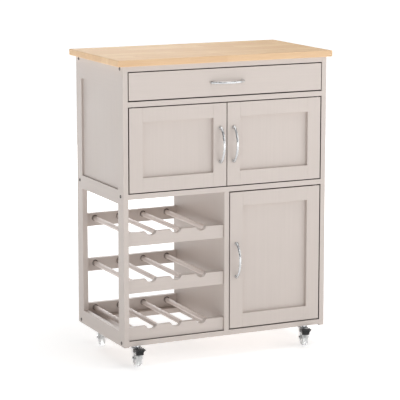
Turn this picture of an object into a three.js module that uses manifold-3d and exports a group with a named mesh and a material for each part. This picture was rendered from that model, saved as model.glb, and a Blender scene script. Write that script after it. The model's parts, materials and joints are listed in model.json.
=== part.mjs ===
// Kitchen island cart: a painted cabinet on castors with a drawer, three doors and an open bottle rack.
// Units are millimetres and +Z is up. The front faces -Y and the floor is Z = 0.
// Inside the carcass group X starts at the outer face of the left side frame, Y starts at the front
// of the side frames and Z starts at their lower ends.

import * as THREE from 'three';
import { mergeVertices } from 'three/addons/utils/BufferGeometryUtils.js';
import Module from 'manifold-3d';

const wasm = await Module();
wasm.setup();

// ---------------------------------------------------------------- driving dimensions

const WIDTH = 636; // carcass, outer face to outer face
const DEPTH = 346; // carcass, front to rear
const HEIGHT = 792; // side frames, lower end to upper end
const BOARD = 15; // thickness of every painted board
const POST = 40; // width of the side frame posts and of the flat rails
const CASTOR_DROP = 61; // lower end of the side frames above the floor
const GAP = 2.5; // working gap round the drawer front and the doors
const CLEARANCE = 0.3; // between a pin and its hole

const INNER_LEFT = BOARD;
const INNER_RIGHT = WIDTH - BOARD;
const CENTRE = WIDTH / 2;
const REAR_POST = DEPTH - POST;

const TOP = { thickness: 18, side: 16, front: 7, back: 14 }; // worktop and its overhangs
const HANDLE = { centres: 96, reach: 30, width: 8, thickness: 6, foot: 4.5, footHeight: 3 };

const SIDE = { bottomRail: 41.5, middleLow: 405.5, middleHigh: 445.5, topRail: 729 };
const SIDE_PANEL = { thickness: 5, recess: 5 };
const BASE = { low: 3, high: 18, stripWidth: 70 };
const DRAWER_RAIL = { low: 679, high: 694 };
const MID_BOARD = { low: 421.5, high: 436.5 };
const TOP_RAIL_LOW = HEIGHT - BOARD;
const BACK = { thickness: 4, front: 338 };

const PARTITION_LEFT = CENTRE - BOARD / 2;
const PARTITION_RIGHT = CENTRE + BOARD / 2;

const DOOR = { stile: 41, recess: 9.5, panel: 4, hingeGap: 3.25 };
const PIVOT = { fromEdge: 11, radius: 3, depth: 6 };
const UPPER_DOOR = { low: MID_BOARD.high + GAP, high: DRAWER_RAIL.low - GAP };
const LOWER_DOOR = { low: BASE.high + 3.5, high: MID_BOARD.low - 3 };
const UPPER_HANDLE_Z = 558;
const LOWER_HANDLE_Z = 221;
const HANDLE_FROM_EDGE = 19.5;

const DRAWER = { low: 697, high: 774.5, side: 12, length: 300, boxLow: 703, boxHigh: 763 };
const DRAWER_FLOOR = { low: 707, thickness: 4 };
const RUNNER = { low: 699, height: 34, reach: 11.5, metal: 1.25, front: 17, length: 296 };

const RACK = { rows: 3, firstRow: 18.5, pitch: 135, height: 38, front: 5, rear: 326 };
const ROD = { count: 4, pitch: 77, radius: 7, above: 22, socket: 10 };
const SCOOP = { radius: 17, depth: 11 };

const SHELF = { low: 214, thickness: 12, front: 24, back: 336 };

// Castors: distances below the base boards, and behind the swivel axis for the wheel.
const CASTOR = {
  insetX: 50, insetFront: 38, insetRear: 53, plate: 38, plateThickness: 2, headRadius: 9, crownTop: 11,
  metal: 2, halfWidth: 13.5, trail: 20, axleDrop: 39, axleRadius: 3, crownReach: 24,
};
const WHEEL = { radius: 25, halfWidth: 9, hubHalfWidth: 10.5, hubRadius: 7, rimRadius: 19 };
const BRAKE = { pivotY: -34, pivotZ: -13.5, hub: 3.2, pin: 1.5, ear: 4.2, shoeGap: 3.7 };
const CASTOR_YAW_DEG = { front_left: -9, front_right: -16, rear_left: -18, rear_right: -12 };

// ---------------------------------------------------------------- materials

function material(color, roughness, metalness = 0) {
  return new THREE.MeshStandardMaterial({ color, roughness, metalness });
}

const PAINT = () => material(0xd2c8c1, 0.55);
const PALE_WOOD = () => material(0xe8cba6, 0.5);
const CHROME = () => material(0xc8c9cb, 0.25, 1);
const ZINC = () => material(0xb9bbbe, 0.35, 1);
const CLEAR_PLASTIC = () => material(0xe9edf0, 0.15);
const BLACK_PLASTIC = () => material(0x1c1c1e, 0.45);
const HARDBOARD = () => material(0xd8d0c8, 0.7);
const WHITE_STEEL = () => material(0xe6e4e0, 0.4, 0.3);

// ---------------------------------------------------------------- solid helpers

function toManifold(geometry) {
  const bare = geometry.clone();
  bare.deleteAttribute('normal');
  bare.deleteAttribute('uv');
  const merged = mergeVertices(bare, 1e-4);
  return new wasm.Manifold(new wasm.Mesh({
    numProp: 3,
    vertProperties: new Float32Array(merged.attributes.position.array),
    triVerts: new Uint32Array(merged.index.array),
  }));
}

function toGeometry(manifold) {
  const mesh = manifold.getMesh();
  const geometry = new THREE.BufferGeometry();
  geometry.setAttribute('position', new THREE.BufferAttribute(mesh.vertProperties, 3));
  geometry.setIndex(new THREE.BufferAttribute(mesh.triVerts, 1));
  geometry.computeVertexNormals();
  return geometry;
}

// Joins `added` to `base` and then takes `removed` away from the result.
function combine(base, added, removed = []) {
  let result = toManifold(base);
  for (const piece of added) {
    result = result.add(toManifold(piece));
  }
  for (const piece of removed) {
    result = result.subtract(toManifold(piece));
  }
  return toGeometry(result);
}

function box([x0, x1], [y0, y1], [z0, z1]) {
  const geometry = new THREE.BoxGeometry(x1 - x0, y1 - y0, z1 - z0);
  return geometry.translate((x0 + x1) / 2, (y0 + y1) / 2, (z0 + z1) / 2);
}

// A cylinder along 'x', 'y' or 'z' between two coordinates of that axis; `at` gives the other two.
function rod(axis, radius, [from, to], at, sides = 16) {
  const geometry = new THREE.CylinderGeometry(radius, radius, to - from, sides);
  const middle = (from + to) / 2;
  if (axis === 'x') {
    return geometry.rotateZ(Math.PI / 2).translate(middle, at[0], at[1]);
  }
  if (axis === 'y') {
    return geometry.translate(at[0], middle, at[1]);
  }
  return geometry.rotateX(Math.PI / 2).translate(at[0], at[1], middle);
}

// Extrudes an outline drawn in X and Z along Y, from yFront to yBack.
function extrudeAlongY(shape, [yFront, yBack], curveSegments = 12) {
  const depth = yBack - yFront;
  const geometry = new THREE.ExtrudeGeometry(shape, { depth, bevelEnabled: false, curveSegments });
  return geometry.rotateX(Math.PI / 2).translate(0, yBack, 0);
}

// Extrudes an outline drawn in Y and Z along X, from x0 to x1.
function extrudeAlongX(shape, [x0, x1], curveSegments = 12) {
  const depth = x1 - x0;
  const geometry = new THREE.ExtrudeGeometry(shape, { depth, bevelEnabled: false, curveSegments });
  geometry.rotateX(Math.PI / 2).rotateZ(Math.PI / 2);
  return geometry.translate(x0, 0, 0);
}

function addMesh(group, name, geometry, finish) {
  const mesh = new THREE.Mesh(geometry, finish);
  mesh.name = name;
  group.add(mesh);
}

const cart = new THREE.Group();
const carcass = new THREE.Group();
const FRONT_REACH = HANDLE.reach;
const BACK_REACH = TOP.back;
carcass.position.set(-CENTRE, -(DEPTH + BACK_REACH - FRONT_REACH) / 2, CASTOR_DROP);
cart.add(carcass);

// ---------------------------------------------------------------- worktop

addMesh(carcass, 'worktop', box(
  [-TOP.side, WIDTH + TOP.side],
  [-TOP.front, DEPTH + TOP.back],
  [HEIGHT, HEIGHT + TOP.thickness],
), PALE_WOOD());

// ---------------------------------------------------------------- side frames

function addSideFrame(side, x, panelX, panels) {
  const between = [POST, REAR_POST];
  addMesh(carcass, `${side}_front_post`, box(x, [0, POST], [0, HEIGHT]), PAINT());
  addMesh(carcass, `${side}_rear_post`, box(x, [REAR_POST, DEPTH], [0, HEIGHT]), PAINT());
  addMesh(carcass, `${side}_top_rail`, box(x, between, [SIDE.topRail, HEIGHT]), PAINT());
  addMesh(carcass, `${side}_middle_rail`, box(x, between, [SIDE.middleLow, SIDE.middleHigh]), PAINT());
  addMesh(carcass, `${side}_bottom_rail`, box(x, between, [0, SIDE.bottomRail]), PAINT());
  for (const [name, z] of Object.entries(panels)) {
    addMesh(carcass, `${side}_${name}`, box(panelX, between, z), PAINT());
  }
}

const upperPanel = [SIDE.middleHigh, SIDE.topRail];
const lowerPanel = [SIDE.bottomRail, SIDE.middleLow];
const panelInset = [SIDE_PANEL.recess, SIDE_PANEL.recess + SIDE_PANEL.thickness];
addSideFrame('left', [0, INNER_LEFT], panelInset, { upper_panel: upperPanel });
addSideFrame(
  'right',
  [INNER_RIGHT, WIDTH],
  [WIDTH - panelInset[1], WIDTH - panelInset[0]],
  { upper_panel: upperPanel, lower_panel: lowerPanel },
);

// ---------------------------------------------------------------- doors

const upperLeft = { left: INNER_LEFT + DOOR.hingeGap, right: CENTRE - GAP / 2, ...UPPER_DOOR };
const upperRight = { left: CENTRE + GAP / 2, right: INNER_RIGHT - DOOR.hingeGap, ...UPPER_DOOR };
const lower = { left: PARTITION_RIGHT + 3, right: INNER_RIGHT - DOOR.hingeGap, ...LOWER_DOOR };

const pivotY = BOARD / 2;
const pivotLeftX = upperLeft.left + PIVOT.fromEdge;
const pivotRightX = upperRight.right - PIVOT.fromEdge;

function rectangle(path, left, right, low, high) {
  path.moveTo(left, low);
  path.lineTo(right, low);
  path.lineTo(right, high);
  path.lineTo(left, high);
  path.closePath();
  return path;
}

function addDoor(name, door, pivotX, railBelow, railAbove) {
  const inner = {
    left: door.left + DOOR.stile,
    right: door.right - DOOR.stile,
    low: door.low + DOOR.stile,
    high: door.high - DOOR.stile,
  };
  const outline = rectangle(new THREE.Shape(), door.left, door.right, door.low, door.high);
  outline.holes.push(rectangle(new THREE.Path(), inner.left, inner.right, inner.low, inner.high));
  const frame = extrudeAlongY(outline, [0, BOARD]);
  const pins = [
    rod('z', PIVOT.radius, [railBelow - PIVOT.depth, door.low + 1], [pivotX, pivotY]),
    rod('z', PIVOT.radius, [door.high - 1, railAbove + PIVOT.depth], [pivotX, pivotY]),
  ];
  addMesh(carcass, `${name}_frame`, combine(frame, pins), PAINT());
  const panelY = [DOOR.recess, DOOR.recess + DOOR.panel];
  addMesh(carcass, `${name}_panel`, box([inner.left, inner.right], panelY, [inner.low, inner.high]), PAINT());
}

addDoor('upper_left_door', upperLeft, pivotLeftX, MID_BOARD.high, DRAWER_RAIL.low);
addDoor('upper_right_door', upperRight, pivotRightX, MID_BOARD.high, DRAWER_RAIL.low);
addDoor('lower_door', lower, pivotRightX, BASE.high, MID_BOARD.low);

function pivotHole(pivotX, z) {
  return rod('z', PIVOT.radius + CLEARANCE, z, [pivotX, pivotY]);
}

const holeDepth = PIVOT.depth + 0.5;
const holeUp = (z) => [z - 1, z + holeDepth];
const holeDown = (z) => [z - holeDepth, z + 1];

// ---------------------------------------------------------------- carcass boards

const innerX = [INNER_LEFT, INNER_RIGHT];
const frontRailY = [0, POST];
const rearRailY = [REAR_POST, DEPTH];
const baseZ = [BASE.low, BASE.high];

addMesh(carcass, 'front_top_rail', box(innerX, frontRailY, [TOP_RAIL_LOW, HEIGHT]), PAINT());
addMesh(carcass, 'rear_top_rail', box(innerX, rearRailY, [TOP_RAIL_LOW, HEIGHT]), PAINT());

addMesh(carcass, 'drawer_rail', combine(
  box(innerX, frontRailY, [DRAWER_RAIL.low, DRAWER_RAIL.high]),
  [],
  [pivotHole(pivotLeftX, holeUp(DRAWER_RAIL.low)), pivotHole(pivotRightX, holeUp(DRAWER_RAIL.low))],
), PAINT());

addMesh(carcass, 'cabinet_floor', combine(
  box(innerX, [0, DEPTH], [MID_BOARD.low, MID_BOARD.high]),
  [],
  [
    pivotHole(pivotLeftX, holeDown(MID_BOARD.high)),
    pivotHole(pivotRightX, holeDown(MID_BOARD.high)),
    pivotHole(pivotRightX, holeUp(MID_BOARD.low)),
  ],
), PAINT());

addMesh(carcass, 'centre_partition', box(
  [PARTITION_LEFT, PARTITION_RIGHT],
  [0, DEPTH],
  [BASE.low, MID_BOARD.low],
), PAINT());

addMesh(carcass, 'upper_back_panel', box(
  innerX,
  [BACK.front, BACK.front + BACK.thickness],
  [MID_BOARD.high, TOP_RAIL_LOW],
), HARDBOARD());

addMesh(carcass, 'lower_back_panel', box(
  [PARTITION_RIGHT, INNER_RIGHT],
  [BACK.front, BACK.front + BACK.thickness],
  [BASE.high, MID_BOARD.low],
), HARDBOARD());

const rackX = [INNER_LEFT, PARTITION_LEFT];
addMesh(carcass, 'front_bottom_rail', box(rackX, frontRailY, baseZ), PAINT());
addMesh(carcass, 'rear_bottom_rail', box(rackX, rearRailY, baseZ), PAINT());

// A castor's square top plate, screwed under the base boards.
function castorPlate(x, y) {
  const half = CASTOR.plate / 2;
  const z = [BASE.low - CASTOR.plateThickness, BASE.low];
  return box([x - half, x + half], [y - half, y + half], z);
}

const castorX = { left: CASTOR.insetX, right: WIDTH - CASTOR.insetX };
const castorY = { front: CASTOR.insetFront, rear: DEPTH - CASTOR.insetRear };

addMesh(carcass, 'left_base_strip', combine(
  box([INNER_LEFT, INNER_LEFT + BASE.stripWidth], [POST, REAR_POST], baseZ),
  [castorPlate(castorX.left, castorY.front), castorPlate(castorX.left, castorY.rear)],
), PAINT());

addMesh(carcass, 'cupboard_floor', combine(
  box([PARTITION_RIGHT, INNER_RIGHT], [0, DEPTH], baseZ),
  [castorPlate(castorX.right, castorY.front), castorPlate(castorX.right, castorY.rear)],
  [pivotHole(pivotRightX, holeDown(BASE.high))],
), PAINT());

addMesh(carcass, 'cupboard_shelf', box(
  [PARTITION_RIGHT, INNER_RIGHT],
  [SHELF.front, SHELF.back],
  [SHELF.low, SHELF.low + SHELF.thickness],
), PAINT());

// ---------------------------------------------------------------- bottle rack

const rackCentre = (INNER_LEFT + PARTITION_LEFT) / 2;
const rodX = Array.from(
  { length: ROD.count },
  (_, i) => rackCentre + (i - (ROD.count - 1) / 2) * ROD.pitch,
);

// The front board of a row: its upper edge has a scoop for a bottle neck between each two rods.
function rackFrontBoard(low) {
  const high = low + RACK.height;
  const centreZ = high - SCOOP.depth + SCOOP.radius;
  const halfAngle = Math.acos((SCOOP.radius - SCOOP.depth) / SCOOP.radius);
  const outline = new THREE.Shape();
  outline.moveTo(rackX[0], low);
  outline.lineTo(rackX[1], low);
  outline.lineTo(rackX[1], high);
  for (let i = ROD.count - 2; i >= 0; i -= 1) {
    const x = (rodX[i] + rodX[i + 1]) / 2;
    outline.absarc(x, centreZ, SCOOP.radius, -Math.PI / 2 + halfAngle, -Math.PI / 2 - halfAngle, true);
  }
  outline.lineTo(rackX[0], high);
  outline.closePath();
  const back = RACK.front + BOARD;
  const sockets = rodX.map((x) => rod(
    'y',
    ROD.radius + CLEARANCE,
    [back - ROD.socket, back + 1],
    [x, low + ROD.above],
  ));
  return combine(extrudeAlongY(outline, [RACK.front, back], 10), [], sockets);
}

// The rear board of a row with its four rods glued into it.
function rackRearBoard(low) {
  const board = box(rackX, [RACK.rear, RACK.rear + BOARD], [low, low + RACK.height]);
  const rodFront = RACK.front + BOARD - ROD.socket + 0.5;
  const rods = rodX.map((x) => rod(
    'y',
    ROD.radius,
    [rodFront, RACK.rear + ROD.socket],
    [x, low + ROD.above],
  ));
  return combine(board, rods);
}

for (let row = 0; row < RACK.rows; row += 1) {
  const low = RACK.firstRow + row * RACK.pitch;
  addMesh(carcass, `rack_front_board_${row + 1}`, rackFrontBoard(low), PAINT());
  addMesh(carcass, `rack_rods_and_rear_board_${row + 1}`, rackRearBoard(low), PAINT());
}

// ---------------------------------------------------------------- drawer

const drawerLeft = INNER_LEFT + 12.5;
const drawerRight = INNER_RIGHT - 12.5;
const drawerEnd = BOARD + DRAWER.length;
const boxZ = [DRAWER.boxLow, DRAWER.boxHigh];
const floorX = [drawerLeft + DRAWER.side, drawerRight - DRAWER.side];

addMesh(carcass, 'drawer_front', box(
  [INNER_LEFT + GAP, INNER_RIGHT - 2],
  [0, BOARD],
  [DRAWER.low, DRAWER.high],
), PAINT());
addMesh(carcass, 'drawer_left_side', box([drawerLeft, floorX[0]], [BOARD, drawerEnd], boxZ), PAINT());
addMesh(carcass, 'drawer_right_side', box([floorX[1], drawerRight], [BOARD, drawerEnd], boxZ), PAINT());
addMesh(carcass, 'drawer_back', box(floorX, [drawerEnd - DRAWER.side, drawerEnd], boxZ), PAINT());
addMesh(carcass, 'drawer_bottom', box(
  floorX,
  [BOARD, drawerEnd - DRAWER.side],
  [DRAWER_FLOOR.low, DRAWER_FLOOR.low + DRAWER_FLOOR.thickness],
), HARDBOARD());

// A runner is a channel open towards the drawer, screwed to the posts of one side frame.
function runner(wallX, inward) {
  const top = RUNNER.low + RUNNER.height;
  const wall = wallX + inward * RUNNER.metal;
  const reach = wallX + inward * RUNNER.reach;
  const outline = new THREE.Shape();
  outline.moveTo(wallX, RUNNER.low);
  outline.lineTo(reach, RUNNER.low);
  outline.lineTo(reach, RUNNER.low + RUNNER.metal);
  outline.lineTo(wall, RUNNER.low + RUNNER.metal);
  outline.lineTo(wall, top - RUNNER.metal);
  outline.lineTo(reach, top - RUNNER.metal);
  outline.lineTo(reach, top);
  outline.lineTo(wallX, top);
  outline.closePath();
  return extrudeAlongY(outline, [RUNNER.front, RUNNER.front + RUNNER.length]);
}

addMesh(carcass, 'left_drawer_runner', runner(INNER_LEFT, 1), WHITE_STEEL());
addMesh(carcass, 'right_drawer_runner', runner(INNER_RIGHT, -1), WHITE_STEEL());

// ---------------------------------------------------------------- bow handles

// The handle's centre line: a circular arc in X and Y between the two feet.
class Bow extends THREE.Curve {
  getPoint(t, target = new THREE.Vector3()) {
    const half = HANDLE.centres / 2;
    const rise = HANDLE.reach - HANDLE.thickness / 2;
    const radius = (half * half + rise * rise) / (2 * rise);
    const halfAngle = Math.asin(half / radius);
    const angle = (2 * t - 1) * halfAngle;
    const out = rise - radius + radius * Math.cos(angle);
    return target.set(radius * Math.sin(angle), -out, 0);
  }
}

function bowHandle() {
  const section = new THREE.Shape();
  section.absellipse(0, 0, HANDLE.width / 2, HANDLE.thickness / 2, 0, 2 * Math.PI, false);
  const options = { extrudePath: new Bow(), steps: 20, curveSegments: 6 };
  const bar = new THREE.ExtrudeGeometry(section, options);
  const feet = [-1, 1].map((end) => rod(
    'y',
    HANDLE.foot,
    [-HANDLE.footHeight, 0],
    [end * HANDLE.centres / 2, 0],
  ));
  const behindFace = box([-80, 80], [0, 20], [-20, 20]);
  return combine(bar, feet, [behindFace]);
}

function addHandle(name, x, z, upright) {
  const geometry = bowHandle();
  if (upright) {
    geometry.rotateY(Math.PI / 2);
  }
  addMesh(carcass, name, geometry.translate(x, 0, z), CHROME());
}

addHandle('drawer_handle', CENTRE, (DRAWER.low + DRAWER.high) / 2, false);
addHandle('upper_left_door_handle', upperLeft.right - HANDLE_FROM_EDGE, UPPER_HANDLE_Z, true);
addHandle('upper_right_door_handle', upperRight.left + HANDLE_FROM_EDGE, UPPER_HANDLE_Z, true);
addHandle('lower_door_handle', lower.left + HANDLE_FROM_EDGE, LOWER_HANDLE_Z, true);

// ---------------------------------------------------------------- castors
// In a castor's own group the swivel axis is Z, its origin is on the underside of the base boards
// and the wheel trails towards -Y.

function forkArm(x0, x1, withBrake) {
  const top = -CASTOR.crownTop;
  const axleY = -CASTOR.trail;
  const outline = new THREE.Shape();
  outline.moveTo(9, top);
  outline.lineTo(9, top - 6);
  outline.absarc(axleY, -CASTOR.axleDrop, 6, Math.PI / 5, -Math.PI * 1.02, true);
  outline.lineTo(-CASTOR.crownReach - 1, top - 12);
  outline.lineTo(-CASTOR.crownReach - 1, top);
  outline.closePath();
  const plate = extrudeAlongX(outline, [x0, x1], 8);
  if (!withBrake) {
    return plate;
  }
  const ear = rod('x', BRAKE.ear, [x0, x1], [BRAKE.pivotY, BRAKE.pivotZ]);
  const bridgeY = [BRAKE.pivotY, -CASTOR.crownReach];
  const bridge = box([x0, x1], bridgeY, [BRAKE.pivotZ - 4, BRAKE.pivotZ + 2.5]);
  return combine(plate, [ear, bridge]);
}

function castorFork(withBrake) {
  const inside = CASTOR.halfWidth - CASTOR.metal;
  const crownOutline = new THREE.Shape();
  crownOutline.absarc(0, 0, CASTOR.halfWidth, 0, Math.PI, false);
  crownOutline.lineTo(-CASTOR.halfWidth, -CASTOR.crownReach);
  crownOutline.lineTo(CASTOR.halfWidth, -CASTOR.crownReach);
  crownOutline.closePath();
  const crown = new THREE.ExtrudeGeometry(
    crownOutline,
    { depth: CASTOR.metal, bevelEnabled: false, curveSegments: 12 },
  );
  crown.translate(0, 0, -CASTOR.crownTop - CASTOR.metal);
  const head = rod(
    'z',
    CASTOR.headRadius,
    [-CASTOR.crownTop - 1, -CASTOR.plateThickness - CLEARANCE],
    [0, 0],
    24,
  );
  const span = [-CASTOR.halfWidth - 1, CASTOR.halfWidth + 1];
  const axle = rod('x', CASTOR.axleRadius, span, [-CASTOR.trail, -CASTOR.axleDrop]);
  const pieces = [
    head,
    axle,
    forkArm(-CASTOR.halfWidth, -inside, withBrake),
    forkArm(inside, CASTOR.halfWidth, withBrake),
  ];
  if (withBrake) {
    pieces.push(rod('x', BRAKE.pin, span, [BRAKE.pivotY, BRAKE.pivotZ]));
  }
  return combine(crown, pieces);
}

function castorWheel() {
  const w = WHEEL;
  const bore = CASTOR.axleRadius + CLEARANCE;
  const profile = [
    [bore, -w.hubHalfWidth],
    [w.hubRadius, -w.hubHalfWidth],
    [w.hubRadius + 1, -w.halfWidth + 2],
    [w.rimRadius, -w.halfWidth + 2],
    [w.rimRadius + 1, -w.halfWidth],
    [w.radius - 2.5, -w.halfWidth],
    [w.radius - 0.6, -w.halfWidth + 2.2],
    [w.radius, -w.halfWidth / 3],
  ].map(([r, y]) => new THREE.Vector2(r, y));
  const mirrored = profile.map((p) => new THREE.Vector2(p.x, -p.y)).reverse();
  const closed = [...profile, ...mirrored, profile[0].clone()];
  const geometry = new THREE.LatheGeometry(closed, 32);
  return geometry.rotateZ(Math.PI / 2).translate(0, -CASTOR.trail, -CASTOR.axleDrop);
}

// The pedal turns on a pin between the fork arms. Its shoe stands clear of the tread when it is up.
function brakePedal() {
  const inside = CASTOR.halfWidth - CASTOR.metal - 0.6;
  const shoeRadius = WHEEL.radius + BRAKE.shoeGap;
  const body = new THREE.Shape();
  body.moveTo(BRAKE.pivotY + 0.5, BRAKE.pivotZ + 2.8);
  body.lineTo(-48, -8.6);
  body.lineTo(-51.5, -12);
  body.lineTo(-50.5, -25);
  body.absarc(-CASTOR.trail, -CASTOR.axleDrop, shoeRadius, Math.PI * 0.855, Math.PI * 0.69, true);
  body.closePath();
  const tread = new THREE.Shape();
  tread.moveTo(-39.5, -12.4);
  tread.lineTo(-39.5, -9.6);
  tread.lineTo(-50, -8.2);
  tread.lineTo(-62, -6.6);
  tread.lineTo(-62, -9);
  tread.lineTo(-51, -12.4);
  tread.closePath();
  const pivot = [BRAKE.pivotY, BRAKE.pivotZ];
  return combine(
    rod('x', BRAKE.hub, [-inside, inside], pivot),
    [extrudeAlongX(body, [-inside, inside], 8), extrudeAlongX(tread, [-14.5, 14.5])],
    [rod('x', BRAKE.pin + CLEARANCE, [-inside - 1, inside + 1], pivot)],
  );
}

for (const [corner, yaw] of Object.entries(CASTOR_YAW_DEG)) {
  const [end, side] = corner.split('_');
  const castor = new THREE.Group();
  castor.position.set(castorX[side], castorY[end], BASE.low);
  castor.rotation.z = THREE.MathUtils.degToRad(yaw);
  carcass.add(castor);
  const withBrake = end === 'front';
  addMesh(castor, `${corner}_castor_fork`, castorFork(withBrake), ZINC());
  addMesh(castor, `${corner}_castor_wheel`, castorWheel(), CLEAR_PLASTIC());
  if (withBrake) {
    addMesh(castor, `${corner}_brake_pedal`, brakePedal(), BLACK_PLASTIC());
  }
}

export default cart;
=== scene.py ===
# The looks of a kitchen island cart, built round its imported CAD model.
# Lengths are metres, in the CAD model's own frame: +Z up, the front faces -Y, the floor is Z = 0.

import json
import math

import bmesh
import bpy
from mathutils import Matrix, Vector


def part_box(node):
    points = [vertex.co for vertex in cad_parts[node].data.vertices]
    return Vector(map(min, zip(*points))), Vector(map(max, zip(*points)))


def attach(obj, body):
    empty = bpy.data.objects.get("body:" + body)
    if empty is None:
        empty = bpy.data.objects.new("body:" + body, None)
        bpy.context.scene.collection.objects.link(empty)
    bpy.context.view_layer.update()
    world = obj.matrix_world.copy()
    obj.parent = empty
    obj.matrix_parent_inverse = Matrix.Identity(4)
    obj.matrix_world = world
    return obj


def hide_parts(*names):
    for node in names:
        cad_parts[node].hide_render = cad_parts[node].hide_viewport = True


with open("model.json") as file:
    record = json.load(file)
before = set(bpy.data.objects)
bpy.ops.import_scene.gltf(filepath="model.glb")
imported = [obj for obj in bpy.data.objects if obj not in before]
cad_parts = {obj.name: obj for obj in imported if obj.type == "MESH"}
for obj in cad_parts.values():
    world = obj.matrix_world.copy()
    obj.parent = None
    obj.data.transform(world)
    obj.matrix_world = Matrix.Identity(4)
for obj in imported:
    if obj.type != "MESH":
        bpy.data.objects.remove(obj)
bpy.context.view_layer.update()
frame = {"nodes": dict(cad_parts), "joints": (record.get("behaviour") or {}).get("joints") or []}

MM = 0.001
NODES = frame["nodes"]
JOINTS = {joint["name"]: joint for joint in frame["joints"]}

# ---------------------------------------------------------------- sizes that only the looks need

ROUND = 0.5 * MM           # rounding of a painted board's free edges
CRISP = 0.22               # share of ROUND that is left along a glued joint
TOP_ROUND = 2.2 * MM       # rounding of the worktop
ROD_SIDES = 40
HANDLE = {
    "centres": 96 * MM, "overhang": 4.5 * MM, "width": 8 * MM, "thickness": 6 * MM,
    "foot": 4.6 * MM, "foot_height": 2.4 * MM, "steps": 80, "sides": 20,
    "middle_width": 0.86, "middle_thickness": 0.80,  # shares of the width and thickness at the ends
    "round_from": 0.95, "round_over": 0.052,         # where the ends round off, as shares of half the bow
}
BOLT = {"radius": 4.6 * MM, "proud": 0.9 * MM, "socket": 2.4 * MM, "inset": 21 * MM}
SCREW = {"radius": 3.4 * MM, "proud": 1.6 * MM, "recess": 1.5 * MM}
PIVOT = {"radius": 3 * MM, "washer": 5.4 * MM}

# ---------------------------------------------------------------- mesh helpers


def vec(x, y, z):
    return Vector((x, y, z))


def in_mm(*points):
    """Profile or outline points given in millimetres."""
    return [(a * MM, b * MM) for a, b in points]


def object_from(bm, name, smooth=True):
    """Turns a bmesh into a linked object."""
    bmesh.ops.recalc_face_normals(bm, faces=bm.faces)
    mesh = bpy.data.meshes.new(name)
    bm.to_mesh(mesh)
    bm.free()
    for polygon in mesh.polygons:
        polygon.use_smooth = smooth
    obj = bpy.data.objects.new(name, mesh)
    bpy.context.scene.collection.objects.link(obj)
    return obj


def place(obj, body, finish, replaces=()):
    """Gives a new piece its material, its body and the CAD nodes that it stands for."""
    for material in finish if isinstance(finish, tuple) else (finish,):
        obj.data.materials.append(material)
    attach(obj, body)
    if replaces:
        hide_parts(*replaces)
    return obj


def bevel(obj, width, segments=3, limit="ANGLE", angle=35):
    """Rounds an object's edges: all sharp ones, or by their bevel weight."""
    modifier = obj.modifiers.new("round", "BEVEL")
    modifier.width = width
    modifier.segments = segments
    modifier.limit_method = limit
    modifier.angle_limit = math.radians(angle)
    modifier.harden_normals = True
    return obj


def weight_layer(bm):
    """The layer that holds each edge's share of the bevel's width."""
    layers = bm.edges.layers.float
    name = "bevel_weight_edge"
    return layers.get(name) or layers.new(name)


def add_box(bm, lo, hi, tight=(), thin=()):
    """Adds a box, with its faces named by side, such as '+x'.

    The edges of the tight faces stay crisp when the box is bevelled, and the thin faces get the
    object's second material: on the painted boards, the painted shade of a gap."""
    layer = weight_layer(bm)
    matrix = Matrix.Translation((lo + hi) / 2) @ Matrix.Diagonal((*(hi - lo), 1))
    made = bmesh.ops.create_cube(bm, size=1, matrix=matrix)
    limits = {
        "-x": (0, lo.x), "-y": (1, lo.y), "-z": (2, lo.z),
        "+x": (0, hi.x), "+y": (1, hi.y), "+z": (2, hi.z),
    }

    def lies_on(element, sides):
        return any(
            all(abs(v.co[axis] - value) < 1e-7 for v in element.verts)
            for axis, value in (limits[side] for side in sides)
        )

    for edge in {e for v in made["verts"] for e in v.link_edges}:
        edge[layer] = CRISP if lies_on(edge, tight) else 1.0
    for face in {f for v in made["verts"] for f in v.link_faces}:
        face.material_index = 1 if lies_on(face, thin) else 0


def lathe(bm, profile, sides, matrix):
    """Adds a solid of revolution about Z from (radius, height) points, then moves it by matrix."""
    rings = []
    for radius, height in profile:
        if radius < 1e-7:
            rings.append([bm.verts.new(matrix @ vec(0, 0, height))])
            continue
        ring = []
        for i in range(sides):
            angle = 2 * math.pi * i / sides
            point = vec(radius * math.cos(angle), radius * math.sin(angle), height)
            ring.append(bm.verts.new(matrix @ point))
        rings.append(ring)
    closed = profile[0][0] > 1e-7
    pairs = list(zip(rings, rings[1:] + (rings[:1] if closed else [])))
    for low, high in pairs if closed else pairs[: len(rings) - 1]:
        for i in range(sides):
            j = (i + 1) % sides
            corners = [low[i % len(low)], low[j % len(low)], high[j % len(high)], high[i % len(high)]]
            unique = list(dict.fromkeys(corners))
            if len(unique) > 2:
                bm.faces.new(unique)


def extrude_outline(bm, points, start, end, to_point):
    """Adds a prism: points are the outline, and to_point(a, b, c) puts an outline point at depth c."""
    near = [bm.verts.new(to_point(a, b, start)) for a, b in points]
    far = [bm.verts.new(to_point(a, b, end)) for a, b in points]
    bm.faces.new(near)
    bm.faces.new(list(reversed(far)))
    for i in range(len(points)):
        j = (i + 1) % len(points)
        bm.faces.new([near[j], near[i], far[i], far[j]])


def arc(centre, radius, start, end, steps):
    """Points of an arc, in degrees, end included."""
    made = []
    for i in range(steps + 1):
        angle = math.radians(start + (end - start) * i / steps)
        made.append((centre[0] + radius * math.cos(angle), centre[1] + radius * math.sin(angle)))
    return made


def turned(axis, point):
    """The matrix that carries Z onto axis and the origin to point."""
    rotation = Vector(axis).to_track_quat("Z", "Y").to_matrix().to_4x4()
    return Matrix.Translation(point) @ rotation


# ---------------------------------------------------------------- material helpers


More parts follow.
